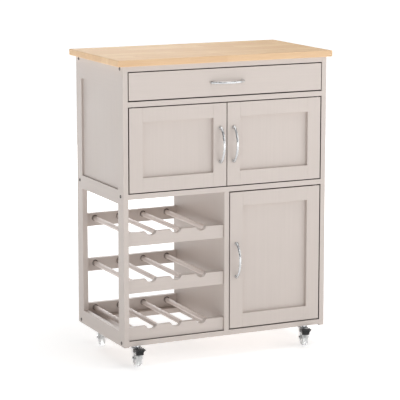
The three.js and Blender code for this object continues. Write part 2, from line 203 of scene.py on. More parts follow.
class Shader:
    """A material's node tree with short calls for the nodes that are used here."""

    def __init__(self, name, colour, roughness, metallic=0.0):
        self.material = bpy.data.materials.new(name)
        self.material.use_nodes = True
        self.tree = self.material.node_tree
        self.surface = self.tree.nodes["Principled BSDF"]
        self.surface.inputs["Base Color"].default_value = (*colour, 1)
        self.surface.inputs["Roughness"].default_value = roughness
        self.surface.inputs["Metallic"].default_value = metallic
        self.position = self.node("ShaderNodeTexCoord").outputs["Object"]

    def node(self, kind, **settings):
        made = self.tree.nodes.new(kind)
        for key, value in settings.items():
            setattr(made, key, value)
        return made

    def link(self, source, target):
        self.tree.links.new(source, target)

    def set(self, socket, value):
        self.surface.inputs[socket].default_value = value

    def math(self, operation, *values):
        made = self.node("ShaderNodeMath", operation=operation)
        for socket, value in zip(made.inputs, values):
            if isinstance(value, (int, float)):
                socket.default_value = value
            else:
                self.link(value, socket)
        return made.outputs[0]

    def stretched(self, scale, source=None):
        """Object coordinates scaled along X, Y and Z."""
        mapping = self.node("ShaderNodeMapping")
        mapping.inputs["Scale"].default_value = scale
        self.link(source or self.position, mapping.inputs["Vector"])
        return mapping.outputs["Vector"]

    def noise(self, vector, scale=1.0, detail=2.0, roughness=0.5, distortion=0.0):
        made = self.node("ShaderNodeTexNoise")
        made.inputs["Scale"].default_value = scale
        made.inputs["Detail"].default_value = detail
        made.inputs["Roughness"].default_value = roughness
        made.inputs["Distortion"].default_value = distortion
        self.link(vector, made.inputs["Vector"])
        return made.outputs["Fac"]

    def spread(self, value, low, high, from_low=0.3, from_high=0.7):
        """Maps a value from one range to another, clamped."""
        made = self.node("ShaderNodeMapRange")
        limits = {"From Min": from_low, "From Max": from_high, "To Min": low, "To Max": high}
        for name, number in limits.items():
            made.inputs[name].default_value = number
        self.link(value, made.inputs["Value"])
        return made.outputs["Result"]

    def mix(self, factor, a, b):
        """Mixes two colours; each is a tuple or a socket."""
        made = self.node("ShaderNodeMix", data_type="RGBA")
        for socket, value in ((made.inputs[0], factor), (made.inputs[6], a), (made.inputs[7], b)):
            if isinstance(value, tuple):
                socket.default_value = (*value, 1)
            elif isinstance(value, (int, float)):
                socket.default_value = value
            else:
                self.link(value, socket)
        return made.outputs[2]

    def bump(self, height, strength, distance, under=None):
        made = self.node("ShaderNodeBump")
        made.inputs["Strength"].default_value = strength
        made.inputs["Distance"].default_value = distance
        self.link(height, made.inputs["Height"])
        if under:
            self.link(under, made.inputs["Normal"])
        return made.outputs["Normal"]

    def wear(self, colour, normal=None):
        """Links the surface's colour and, where there is one, its bumped normal."""
        self.link(colour, self.surface.inputs["Base Color"])
        if normal:
            self.link(normal, self.surface.inputs["Normal"])


def paint(name, colour, grain_axis):
    """Satin paint sprayed on fibreboard: orange peel, faint banding along the board and soft mottling."""
    s = Shader(name, colour, 0.42)
    bands = [260.0, 260.0, 260.0]
    bands[grain_axis] = 5.0
    band = s.noise(s.stretched(bands), detail=3)
    mottle = s.noise(s.position, scale=9, detail=3)
    tone = s.math("ADD", s.spread(band, 0.36, 0.64), s.spread(mottle, -0.14, 0.14))
    darker = tuple(c * 0.95 for c in colour)
    lighter = tuple(c * 1.05 for c in colour)
    shade = s.mix(tone, darker, lighter)
    peel = s.noise(s.position, scale=620, detail=1)
    fine = s.bump(peel, 0.10, 0.0002)
    s.wear(shade, s.bump(band, 0.05, 0.0002, fine))
    s.link(s.spread(mottle, 0.36, 0.48), s.surface.inputs["Roughness"])
    s.set("Specular IOR Level", 0.45)
    return s.material


GAP_SHADE_FROM = 15.4 * MM  # depth behind the posts' front at which the painted gap shade starts to fade
GAP_SHADE_TO = 26 * MM      # and at which the face is plain paint again


def gap_shade_paint(name, colour, board):
    """Painted shade for faces seen in the gaps round the doors and drawer: dark brown from the front plane
    to about a door's thickness in, plain paint deeper.
    """
    s = Shader(name, colour, 0.6)
    split = s.node("ShaderNodeSeparateXYZ")
    s.link(s.position, split.inputs[0])
    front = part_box("left_front_post")[0].y
    depth = s.math("SUBTRACT", split.outputs[1], front)
    fibre = s.noise(s.stretched((900, 90, 900)), detail=2)
    near_front = s.spread(depth, 1.0, 0.0, GAP_SHADE_FROM, GAP_SHADE_TO)
    # Painted shade: the share of the dark colour, whole near the front and gone deeper in.
    gap_shade_share = s.math("MULTIPLY", near_front, s.spread(fibre, 0.94, 1.0))
    s.wear(s.mix(gap_shade_share, colour, board), s.bump(fibre, 0.2, 0.0002))
    return s.material


def painted_hole_shade():
    """Painted shade inside a drilled hole: dark brown with a fibre grain."""
    s = Shader("painted_hole_shade", (0.11, 0.08, 0.06), 0.85)
    fibre = s.noise(s.position, scale=900, detail=2)
    brown = s.mix(s.spread(fibre, 0, 1), (0.085, 0.060, 0.045), (0.14, 0.10, 0.075))
    s.wear(brown, s.bump(fibre, 0.3, 0.0002))
    return s.material


STAVE = {
    "count": 6,            # staves across the worktop
    "block": 0.235,        # length of a block along its stave
    "finger": 2.0 * MM,    # half the pitch of the fingers that join two blocks
    "finger_slope": 2.6,   # how far a finger reaches along the stave, over its width
    "shift": 1.7,          # the furthest that a stave's blocks are set off, in blocks
    "seam_across": 0.0045,  # half widths of the glue lines, as shares of a stave and of a block
    "seam_along": 0.0011,
}
GOLDEN = 0.6180


def worktop_wood():
    """Finger-jointed wood: staves along X, each made of blocks with their own tone and grain."""
    s = Shader("worktop_wood", (0.7, 0.5, 0.32), 0.4)
    lo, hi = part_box("worktop")
    split = s.node("ShaderNodeSeparateXYZ")
    s.link(s.position, split.inputs[0])
    x, y, z = split.outputs
    count = STAVE["count"]
    stave_width = (hi.y - lo.y) / count
    across = s.math("DIVIDE", s.math("SUBTRACT", y, lo.y), stave_width)
    stave = s.math("FLOOR", s.math("MINIMUM", s.math("MAXIMUM", across, 0.001), count - 0.001))
    scattered = s.math("FRACT", s.math("MULTIPLY", stave, GOLDEN))
    offset = s.math("MULTIPLY", scattered, STAVE["shift"])
    fingers = s.math("PINGPONG", s.math("ADD", y, z), STAVE["finger"])
    toothed = s.math("ADD", x, s.math("MULTIPLY", fingers, STAVE["finger_slope"]))
    along = s.math("ADD", s.math("DIVIDE", toothed, STAVE["block"]), offset)
    block = s.math("FLOOR", along)
    cell = s.node("ShaderNodeCombineXYZ")
    s.link(block, cell.inputs[0])
    s.link(stave, cell.inputs[1])
    random = s.node("ShaderNodeTexWhiteNoise", noise_dimensions="3D")
    s.link(cell.outputs[0], random.inputs["Vector"])
    tone = random.outputs["Value"]
    moved = s.node("ShaderNodeVectorMath", operation="ADD")
    s.link(s.position, moved.inputs[0])
    far = s.node("ShaderNodeVectorMath", operation="SCALE")
    s.link(random.outputs["Color"], far.inputs[0])
    far.inputs["Scale"].default_value = 3.0
    s.link(far.outputs[0], moved.inputs[1])
    in_block = moved.outputs[0]
    rings = s.noise(s.stretched((3.2, 55, 40), in_block), detail=4, distortion=0.6)
    fibre = s.noise(s.stretched((22, 900, 700), in_block), detail=2)
    pores = s.noise(s.stretched((60, 1500, 1500), in_block), detail=1)
    pale = s.mix(tone, (0.900, 0.625, 0.380), (0.975, 0.730, 0.470))
    ringed = s.mix(s.spread(rings, 0.0, 0.55), pale, (0.790, 0.510, 0.290))
    fibred = s.mix(s.spread(fibre, 0.0, 0.26, 0.35, 0.75), ringed, (0.700, 0.430, 0.235))
    dotted = s.mix(s.spread(pores, 0.0, 0.35, 0.66, 0.76), fibred, (0.46, 0.29, 0.16))
    seam_across = s.math("LESS_THAN", s.math("PINGPONG", across, 0.5), STAVE["seam_across"])
    seam_along = s.math("LESS_THAN", s.math("PINGPONG", along, 0.5), STAVE["seam_along"])
    seam = s.math("MAXIMUM", seam_across, seam_along)
    jointed = s.mix(s.math("MULTIPLY", seam, 0.35), dotted, (0.46, 0.29, 0.17))
    height = s.math("SUBTRACT", s.math("MULTIPLY", fibre, 0.35), s.math("MULTIPLY", seam, 0.5))
    s.wear(jointed, s.bump(height, 0.25, 0.0002))
    s.link(s.spread(fibre, 0.50, 0.64), s.surface.inputs["Roughness"])
    s.set("Specular IOR Level", 0.22)
    return s.material


def hardboard():
    """Thin painted hardboard with the fine weave that its press leaves."""
    s = Shader("hardboard", (0.56, 0.50, 0.46), 0.6)
    weave = s.noise(s.position, scale=1400, detail=1)
    mottle = s.noise(s.position, scale=14, detail=3)
    shade = s.mix(s.spread(mottle, 0, 1), (0.548, 0.488, 0.448), (0.562, 0.502, 0.462))
    s.wear(shade, s.bump(weave, 0.2, 0.0002))
    return s.material


def metal(name, colour, roughness):
    """Plated metal with fine polishing streaks and a slightly uneven shine."""
    s = Shader(name, colour, roughness, 1.0)
    polish = s.noise(s.stretched((60, 60, 900)), detail=2)
    cloud = s.noise(s.position, scale=120, detail=2)
    darker = tuple(c * 0.92 for c in colour)
    s.wear(s.mix(s.spread(cloud, 0, 1), darker, colour), s.bump(polish, 0.04, 0.0001))
    s.link(s.spread(cloud, roughness * 0.8, roughness * 1.25), s.surface.inputs["Roughness"])
    return s.material


def plastic(name, colour, roughness, grain_scale=1800):
    """Moulded plastic with a fine eroded grain."""
    s = Shader(name, colour, roughness)
    grain = s.noise(s.position, scale=grain_scale, detail=1)
    cloud = s.noise(s.position, scale=60, detail=2)
    darker = tuple(c * 0.85 for c in colour)
    s.wear(s.mix(s.spread(cloud, 0, 1), darker, colour), s.bump(grain, 0.15, 0.0001))
    return s.material


def clear_plastic():
    """Clear moulded polycarbonate with faint flow marks and an uneven shine."""
    s = Shader("clear_plastic", (0.93, 0.94, 0.94), 0.2)
    flow = s.noise(s.position, scale=90, detail=2, distortion=1.0)
    shade = s.mix(s.spread(flow, 0, 1), (0.92, 0.93, 0.93), (0.97, 0.97, 0.97))
    s.wear(shade, s.bump(flow, 0.1, 0.0003))
    s.link(s.spread(flow, 0.16, 0.28), s.surface.inputs["Roughness"])
    s.set("Transmission Weight", 0.62)
    s.set("IOR", 1.3)
    return s.material


PAINT_COLOUR = (0.604, 0.536, 0.495)
PAINT_X = paint("paint_along_x", PAINT_COLOUR, 0)
PAINT_Y = paint("paint_along_y", PAINT_COLOUR, 1)
PAINT_Z = paint("paint_along_z", PAINT_COLOUR, 2)
# The rods get a lighter copy of the paint: painted light, standing in for light that the inside of the
# rack does not get.
LIGHTENED_ROD_PAINT = paint("rod_paint_lightened", (0.84, 0.75, 0.70), 1)
# Painted shade for the gaps: darker on the cart's own faces, lighter on the doors and drawer.
DARK_GAP_SHADE = gap_shade_paint("painted_gap_shade_dark", PAINT_COLOUR, (0.045, 0.030, 0.022))
BROWN_GAP_SHADE = gap_shade_paint("painted_gap_shade_brown", PAINT_COLOUR, (0.125, 0.084, 0.060))
HOLE_SHADE = painted_hole_shade()
WOOD = worktop_wood()
HARDBOARD = hardboard()
CHROME = metal("satin_chrome", (0.66, 0.67, 0.68), 0.26)
ZINC = metal("zinc_plate", (0.74, 0.75, 0.76), 0.16)
DARK_STEEL = metal("black_oxide_steel", (0.055, 0.05, 0.048), 0.42)
CLEAR = clear_plastic()
BLACK = plastic("black_nylon", (0.012, 0.012, 0.013), 0.34)
WHITE_STEEL = plastic("white_powder_coat", (0.78, 0.77, 0.75), 0.38, 900)
WHITE_NYLON = plastic("white_nylon", (0.80, 0.79, 0.76), 0.45)

# ---------------------------------------------------------------- painted boards


def boards(name, body, parts, finish, replaces=(), width=ROUND):
    """One piece made of boxes; each of its parts holds the arguments that add_box takes."""
    bm = bmesh.new()
    for part in parts:
        add_box(bm, *part)
    obj = object_from(bm, name)
    bevel(obj, width, 3, "WEIGHT")
    return place(obj, body, finish, replaces)


def finished_board(node, body, finish, tight=(), thin=()):
    """A CAD board again, with rounded edges and painted gap shade on the faces that want it."""
    lo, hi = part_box(node)
    # Painted shade for the gaps: darker on the cart's faces than on a door's or the drawer's.
    edge = DARK_GAP_SHADE if body == "cart" else BROWN_GAP_SHADE
    finishes = (finish, edge) if thin else finish
    return boards(f"{node}_painted", body, [(lo, hi, tight, thin)], finishes, replaces=[node])


RAIL_ENDS = ("-x", "+x")
# The faces listed as thin get painted shade where they are seen in a gap next to a door or the drawer.
for side in ("left", "right"):
    inner = "+x" if side == "left" else "-x"
    finished_board(f"{side}_front_post", "cart", PAINT_Z, ("+y",), (inner,))
    finished_board(f"{side}_rear_post", "cart", PAINT_Z, ("-y",))
    for rail in ("top_rail", "middle_rail", "bottom_rail"):
        finished_board(f"{side}_{rail}", "cart", PAINT_Y, ("-y", "+y"))
for node, thin in (
    ("front_top_rail", ("-z",)),
    ("rear_top_rail", ()),
    ("drawer_rail", ("+z", "-z")),
    ("cabinet_floor", ("+z",)),
    ("front_bottom_rail", ("+z",)),
    ("rear_bottom_rail", ()),
):
    finished_board(node, "cart", PAINT_X, RAIL_ENDS, thin)
finished_board("centre_partition", "cart", PAINT_Z, ("+z",), ("+x",))
finished_board("cupboard_shelf", "cart", PAINT_X, RAIL_ENDS)


def base_board(node, tight):
    """A base board without the castor plates that its CAD node carries under it."""
    lo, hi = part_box(node)
    lo.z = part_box("front_bottom_rail")[0].z
    if node == "left_base_strip":
        lo.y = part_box("left_bottom_rail")[0].y
        hi.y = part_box("left_bottom_rail")[1].y
    return boards(f"{node}_painted", "cart", [(lo, hi, tight)], PAINT_Y, replaces=[node])


base_board("left_base_strip", ("-x", "-y", "+y"))
base_board("cupboard_floor", RAIL_ENDS)

for node in ("left_upper_panel", "right_upper_panel", "right_lower_panel"):
    finished_board(node, "cart", PAINT_Z, ("-y", "+y", "-z", "+z"))


def repaint(node, finish):
    """Gives a CAD node that stays its Blender material."""
    data = NODES[node].data
    data.materials.clear()
    data.materials.append(finish)


for node in ("upper_back_panel", "lower_back_panel", "drawer_bottom"):
    repaint(node, HARDBOARD)

# ---------------------------------------------------------------- worktop


def worktop():
    """The wooden top, whose staves and joints are in its material."""
    lo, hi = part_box("worktop")
    bm = bmesh.new()
    add_box(bm, lo, hi)
    obj = object_from(bm, "worktop_staves")
    bevel(obj, TOP_ROUND, 5, "WEIGHT")
    return place(obj, "cart", WOOD, ["worktop"])


worktop()

# ---------------------------------------------------------------- doors


def door(name):
    """A shaker door: full-height stiles, rails between them, a sunk panel and steel pivot pins."""
    frame_lo, frame_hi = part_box(f"{name}_frame")
    panel_lo, panel_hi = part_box(f"{name}_panel")
    stile = panel_lo.x - frame_lo.x
    low = panel_lo.z - stile
    high = panel_hi.z + stile
    y0 = frame_lo.y
    y1 = frame_hi.y
    # The upper doors also have painted gap shade on their left edges.
    left_edges = ("-z", "+z") if name == "lower_door" else ("-x", "-z", "+z")
    parts = [
        (vec(frame_lo.x, y0, low), vec(panel_lo.x, y1, high), (), left_edges),
        (vec(panel_hi.x, y0, low), vec(frame_hi.x, y1, high), (), ("-z", "+z")),
        (vec(panel_lo.x, y0, low), vec(panel_hi.x, y1, panel_lo.z), (), ("-z",)),
        (vec(panel_lo.x, y0, panel_hi.z), vec(panel_hi.x, y1, high), (), ("+z",)),
    ]
    boards(f"{name}_stiles_and_rails", name, parts, (PAINT_Z, BROWN_GAP_SHADE), replaces=[f"{name}_frame"])
    repaint(f"{name}_panel", PAINT_Z)
    hinge = Vector(JOINTS[f"{name}_hinge"]["pos_m"])
    bm = bmesh.new()
    for edge, tip, sign in ((low, frame_lo.z, -1), (high, frame_hi.z, 1)):
        radius = PIVOT["radius"]
        washer = PIVOT["washer"]
        length = abs(tip - edge)
        profile = [
            (0, -1 * MM), (washer, -1 * MM), (washer, 1.1 * MM), (radius, 1.3 * MM),
            (radius, length - 0.6 * MM), (radius - 0.6 * MM, length), (0, length),
        ]
        lathe(bm, profile, 24, turned((0, 0, sign), vec(hinge.x, hinge.y, edge)))
    place(object_from(bm, f"{name}_pivots"), name, ZINC)


for name in ("upper_left_door", "upper_right_door", "lower_door"):
    door(name)

# ---------------------------------------------------------------- bow handles


def handle(node, body):
    """A cast bow: an oval bar that carries on a little past the two round feet it stands on."""
    lo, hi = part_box(node)
    middle = (lo + hi) / 2
    face = hi.y
    upright = (hi.z - lo.z) > (hi.x - lo.x)
    half = HANDLE["centres"] / 2 + HANDLE["overhang"]
    rise = face - lo.y - HANDLE["thickness"] / 2 - HANDLE["foot_height"]
    radius = (half * half + rise * rise) / (2 * rise)
    sweep = math.asin(half / radius)
    sides = HANDLE["sides"]
    slim = HANDLE["middle_width"]
    flat = HANDLE["middle_thickness"]

    def out(along, away, across):
        """A point of the handle: along the bow, away from the face it stands on, and across."""
        if upright:
            return vec(middle.x + across, face - away, middle.z + along)
        return vec(middle.x + along, face - away, middle.z + across)

    bm = bmesh.new()
    rings = []
    steps = HANDLE["steps"]
    for i in range(steps + 1):
        t = 2 * i / steps - 1
        angle = t * sweep
        along = radius * math.sin(angle)
        away = HANDLE["foot_height"] + rise - radius + radius * math.cos(angle)
        into_end = max(0.0, (abs(t) - HANDLE["round_from"]) / HANDLE["round_over"])
        rounded = math.sqrt(max(0.0, 1 - into_end ** 2))
        wide = HANDLE["width"] / 2 * (slim + (1 - slim) * t * t) * rounded
        thick = HANDLE["thickness"] / 2 * (flat + (1 - flat) * t ** 4) * rounded
        ring = []
        for k in range(sides):
            turn = 2 * math.pi * k / sides
            normal = thick * math.sin(turn)
            point = out(
                along + normal * math.sin(angle),
                away + normal * math.cos(angle),
                wide * math.cos(turn),
            )
            ring.append(bm.verts.new(point))
        rings.append(ring)
    for a, b in zip(rings, rings[1:]):
        for k in range(sides):
            m = (k + 1) % sides
            bm.faces.new([a[k], a[m], b[m], b[k]])
    bm.faces.new(list(reversed(rings[0])))
    bm.faces.new(rings[-1])
    foot = HANDLE["foot"]
    top = HANDLE["foot_height"] + 3 * MM
    for end in (-1, 1):
        profile = [
            (0, 0), (foot, 0), (foot, 0.8 * MM), (foot - 1.0 * MM, 1.6 * MM), (foot - 1.2 * MM, top),
            (0, top),
        ]
        lathe(bm, profile, 28, turned((0, -1, 0), out(end * HANDLE["centres"] / 2, 0, 0)))
    place(object_from(bm, f"{node}_bow"), body, CHROME, [node])
    bm = bmesh.new()
    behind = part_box("drawer_front" if body == "drawer" else f"{body}_frame")[1].y
    for end in (-1, 1):
        foot_point = out(end * HANDLE["centres"] / 2, 0, 0)
        add_screw(bm, turned((0, 1, 0), vec(foot_point.x, behind, foot_point.z)))
    place(object_from(bm, f"{node}_screws"), body, ZINC)


def add_screw(bm, matrix):
    """A pan head with a round recess, standing out of the surface along the matrix's Z."""
    r = SCREW["radius"]
    p = SCREW["proud"]
    recess = SCREW["recess"]
    profile = [
        (0, p - 0.9 * MM), (recess * 0.6, p - 0.7 * MM), (recess, p), (r * 0.62, p - 0.05 * MM),
        (r * 0.9, p * 0.65), (r, p * 0.2), (r, 0), (0, 0),
    ]
    lathe(bm, profile, 24, matrix)


for node, body in (
    ("drawer_handle", "drawer"),
    ("upper_left_door_handle", "upper_left_door"),
    ("upper_right_door_handle", "upper_right_door"),
    ("lower_door_handle", "lower_door"),
):
    handle(node, body)

# ---------------------------------------------------------------- bottle rack

ROD = {"count": 4, "pitch": 77 * MM, "radius": 7 * MM, "above": 22 * MM, "into_front": 2 * MM}
REAR_BOARD = 15 * MM
SCOOP = {"radius": 17 * MM, "depth": 11 * MM}
HOLE = {"radius": 8.7 * MM, "depth": 6 * MM, "aside": 1.3 * MM, "above": 1.5 * MM}


def rod_places(lo, hi):
    """The rods' places along X in a row between lo and hi."""
    middle = (lo.x + hi.x) / 2
    return [middle + (i - (ROD["count"] - 1) / 2) * ROD["pitch"] for i in range(ROD["count"])]


def drilled_board(name, lo, hi, xs, z):
    """A board with a wide blind hole in its front for each rod, painted shade inside."""
    bm = bmesh.new()
    add_box(bm, lo, hi)
    board = object_from(bm, name, smooth=False)
    bm = bmesh.new()
    r = HOLE["radius"]
    depth = HOLE["depth"]
    for x in xs:
        place_at = vec(x - HOLE["aside"], lo.y, z + HOLE["above"])
        lathe(bm, [(0, -MM), (r, -MM), (r, depth), (0, depth)], ROD_SIDES, turned((0, 1, 0), place_at))
    # The hole's walls and floor take the painted shade.
    for face in bm.faces:
        face.material_index = 1
    drill = object_from(bm, f"{name}_drill", smooth=False)
    for obj in (board, drill):
        obj.data.materials.append(PAINT_X)
        obj.data.materials.append(HOLE_SHADE)
    holes = board.modifiers.new("holes", "BOOLEAN")
    holes.operation = "DIFFERENCE"
    holes.object = drill
    evaluated = board.evaluated_get(bpy.context.evaluated_depsgraph_get())
    board.data = bpy.data.meshes.new_from_object(evaluated)
    board.modifiers.clear()
    bpy.data.objects.remove(drill)
    place(bevel(board, ROUND, 2), "cart", ())


def rack_row(row):
    """A row of the rack: a scooped front board, four rods and a plain rear board."""
    node = f"rack_front_board_{row}"
    lo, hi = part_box(node)
    xs = rod_places(lo, hi)
    centre_z = hi.z - SCOOP["depth"] + SCOOP["radius"]
    opening = math.degrees(math.acos((SCOOP["radius"] - SCOOP["depth"]) / SCOOP["radius"]))
    outline = [(lo.x, lo.z), (hi.x, lo.z), (hi.x, hi.z)]
    for a, b in reversed(list(zip(xs, xs[1:]))):
        outline += arc(((a + b) / 2, centre_z), SCOOP["radius"], -90 + opening, -90 - opening, 20)
    outline.append((lo.x, hi.z))
    bm = bmesh.new()
    extrude_outline(bm, outline, lo.y, hi.y, lambda a, b, c: vec(a, c, b))
    board = bevel(object_from(bm, f"{node}_scooped"), 0.9 * MM)
    place(board, "cart", PAINT_X, [node])

    node = f"rack_rods_and_rear_board_{row}"
    rear_lo, rear_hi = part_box(node)
    board_lo = vec(rear_lo.x, rear_hi.y - REAR_BOARD, rear_lo.z)
    rod_z = rear_lo.z + ROD["above"]
    drilled_board(f"rack_rear_board_{row}", board_lo, rear_hi, xs, rod_z)
    bm = bmesh.new()
    length = board_lo.y - hi.y + ROD["into_front"] + HOLE["depth"]
    profile = [(0, 0), (ROD["radius"], 0), (ROD["radius"], length), (0, length)]
    for x in xs:
        lathe(bm, profile, ROD_SIDES, turned((0, 1, 0), vec(x, hi.y - ROD["into_front"], rod_z)))
    rods = object_from(bm, f"rack_rods_{row}")
    place(bevel(rods, 0.3 * MM, 1), "cart", LIGHTENED_ROD_PAINT, [node])


for row in (1, 2, 3):
    rack_row(row)

# ---------------------------------------------------------------- drawer and runners

# The drawer front's edges get painted shade where they show in its gap.
finished_board("drawer_front", "drawer", PAINT_X, (), ("-x", "+x", "-z", "+z"))
finished_board("drawer_left_side", "drawer", PAINT_Y, ("-y",))
finished_board("drawer_right_side", "drawer", PAINT_Y, ("-y",))
finished_board("drawer_back", "drawer", PAINT_X, RAIL_ENDS)


RAIL = {"steel": 1.2 * MM, "height": 16 * MM, "under": 11 * MM, "lip": 5 * MM}
ROLLER = {"aside": 4.6 * MM, "from_end": 8 * MM, "drawer_height": 7 * MM, "fixed_height": 22.6 * MM}


def runner(side, sign):
    """The moving rail under one drawer side with its rear roller, and the fixed rail's front roller."""
    side_lo, side_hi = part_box(f"drawer_{side}_side")
    fixed_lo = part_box(f"{side}_drawer_runner")[0]
    outer = side_lo.x if sign > 0 else side_hi.x
    steel = RAIL["steel"]
    rail_top = side_lo.z + RAIL["height"]

    def slab(x_from, x_to, y_from, y_to, z_from, z_to):
        xs = sorted((outer + sign * x_from, outer + sign * x_to))
        return vec(xs[0], y_from, z_from), vec(xs[1], y_to, z_to)

    y0 = side_lo.y + 1 * MM
    y1 = side_hi.y - 1 * MM
    bottom = side_lo.z
    parts = [
        slab(-steel, 0, y0, y1, bottom - steel, rail_top),
        slab(-steel, RAIL["under"], y0, y1, bottom - steel, bottom),
        slab(-RAIL["lip"], -steel, y0, y1, rail_top - steel, rail_top),
    ]
    boards(f"{side}_drawer_rail", "drawer", parts, WHITE_STEEL, width=0.4 * MM)
    repaint(f"{side}_drawer_runner", WHITE_STEEL)
    profile = in_mm((1.2, -2), (4.8, -2), (5.4, -1.6), (5.4, 1.6), (4.8, 2), (1.2, 2))
    x = outer - sign * ROLLER["aside"]
    rear = vec(x, y1 - ROLLER["from_end"], bottom + ROLLER["drawer_height"])
    front = vec(x, fixed_lo.y + ROLLER["from_end"], fixed_lo.z + ROLLER["fixed_height"])
    for name, body, centre in (
        (f"{side}_drawer_rail_roller", "drawer", rear),
        (f"{side}_runner_roller", "cart", front),
    ):
        bm = bmesh.new()
        lathe(bm, profile, 28, turned((1, 0, 0), centre))
        place(object_from(bm, name), body, WHITE_NYLON)


runner("left", 1)
runner("right", -1)

# ---------------------------------------------------------------- bolts, shelf pins and catches


def add_bolt(bm, matrix):
    """A flat bolt head with a hexagon socket."""
    r = BOLT["radius"]
    p = BOLT["proud"]
    s = BOLT["socket"]
    head = [(s, p), (r - 0.5 * MM, p), (r, p - 0.5 * MM), (r, -0.5 * MM), (s, -0.5 * MM)]
    lathe(bm, head, 36, matrix)
    socket = [
        (0, p - 1.2 * MM), (s, p - 1.2 * MM), (s, p), (s + 0.01 * MM, p - 1.6 * MM), (0, p - 1.6 * MM),
    ]
    lathe(bm, socket, 6, matrix)


def side_bolts(side, normal):
    """Bolts through the posts into the top rails, the cabinet floor and the base boards."""
    post_lo, post_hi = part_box(f"{side}_front_post")
    face = post_lo.x if normal < 0 else post_hi.x
    front = post_lo.y + BOLT["inset"]
    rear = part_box(f"{side}_rear_post")[1].y - BOLT["inset"]
    bm = bmesh.new()
    for board in ("front_top_rail", "cabinet_floor", "front_bottom_rail"):
        lo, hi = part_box(board)
        for y in (front, rear):
            add_bolt(bm, turned((normal, 0, 0), vec(face, y, (lo.z + hi.z) / 2)))
    place(object_from(bm, f"{side}_frame_bolts"), "cart", DARK_STEEL)


side_bolts("left", -1)
side_bolts("right", 1)


def shelf_pins():
    """Four pins that the cupboard shelf lies on, one near each corner."""
    radius = 2.5 * MM
    inset = 12 * MM
    profile = [(0, 0), (radius, 0), *in_mm((2.5, 8), (1.9, 8.6), (0, 8.6))]
    lo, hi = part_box("cupboard_shelf")
    bm = bmesh.new()
    for x, sign in ((lo.x, 1), (hi.x, -1)):
        for y in (lo.y + inset, hi.y - inset):
            lathe(bm, profile, 20, turned((sign, 0, 0), vec(x, y, lo.z - radius)))
    place(object_from(bm, "shelf_pins"), "cart", ZINC)


shelf_pins()


def catch(name, x, under, back, doors):
    """A magnetic catch fixed under a board, and a steel strike plate on the back of each door."""
    width = 24 * MM * len(doors)
    lo = vec(x - width / 2, back + 1.5 * MM, under - 11 * MM)
    hi = vec(x + width / 2, back + 22 * MM, under)
    ear_lo = vec(lo.x - 7 * MM, lo.y + 5 * MM, under - 2.5 * MM)
    ear_hi = vec(hi.x + 7 * MM, hi.y - 2 * MM, under)
    boards(f"{name}_catch", "cart", [(lo, hi), (ear_lo, ear_hi)], WHITE_NYLON)
    for number, door_name in enumerate(doors):
        centre = lo.x + width * (number + 0.5) / len(doors)
        plate_lo = vec(centre - 9 * MM, back, under - 17 * MM)
        plate_hi = vec(centre + 9 * MM, back + 1 * MM, under - 3.2 * MM)
        plate = [(plate_lo, plate_hi)]
        boards(f"{door_name}_strike_plate", door_name, plate, ZINC, width=0.3 * MM)


door_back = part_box("upper_left_door_frame")[1].y
catch(
    "cabinet",
    (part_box("upper_left_door_frame")[1].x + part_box("upper_right_door_frame")[0].x) / 2,
    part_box("drawer_rail")[0].z,
    door_back,
    ("upper_left_door", "upper_right_door"),
)
catch(
    "cupboard",
    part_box("lower_door_frame")[0].x + 30 * MM,
    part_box("cabinet_floor")[0].z,
    door_back,
    ("lower_door",),
)

# ---------------------------------------------------------------- castors
# In a castor's own frame the swivel axis is Z, the origin is on the underside of the base boards
# and the wheel trails towards -Y.

PLATE = {"half": 19 * MM, "round": 4 * MM, "thickness": 1.9 * MM, "screws": 14.5 * MM}
FORK = {
    "half": 12.6 * MM, "top": -12 * MM, "reach": 24 * MM, "steel": 1.8 * MM,
    "shoulder": 7.5 * MM, "eye": 6.4 * MM, "fold": 2.2 * MM,
}
WHEEL = {"radius": 25 * MM, "half": 9 * MM, "trail": 20 * MM, "drop": 39 * MM}
PEDAL = {"y": -34 * MM, "z": -13.5 * MM, "half": 10.9 * MM}


def castor_matrix(corner):
    """The matrix from a castor's own frame to the cart's, turned as its wheel stands at rest."""
    swivel = Vector(JOINTS[f"{corner}_swivel"]["pos_m"])
    axis = Vector(JOINTS[f"{corner}_roll"]["axis"])
    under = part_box("front_bottom_rail")[0].z
    turn = math.atan2(axis.y, axis.x)
    return Matrix.Translation((swivel.x, swivel.y, under)) @ Matrix.Rotation(turn, 4, "Z")


def castor_plate(corner, matrix):
    """The square top plate with rounded corners, its upper ball race and four screws."""
    inner = PLATE["half"] - PLATE["round"]
    under = -PLATE["thickness"]
    outline = []
    for i, (sx, sy) in enumerate(((1, 1), (-1, 1), (-1, -1), (1, -1))):
        outline += arc((sx * inner, sy * inner), PLATE["round"], 90 * i, 90 * i + 90, 6)
    straight = Matrix.Translation(matrix.to_translation())
    bm = bmesh.new()
    extrude_outline(bm, outline, under, 0, lambda a, b, c: straight @ vec(a, b, c))
    lathe(bm, in_mm((0, -1.9), (13.5, -1.9), (13.0, -3.6), (11, -4.6), (0, -4.6)), 40, straight)
    for sx in (-1, 1):
        for sy in (-1, 1):
            hole = straight @ vec(sx * PLATE["screws"], sy * PLATE["screws"], under)
            add_screw(bm, turned((0, 0, -1), hole))
    place(bevel(object_from(bm, f"{corner}_castor_plate"), 0.3 * MM, 2), "cart", ZINC)


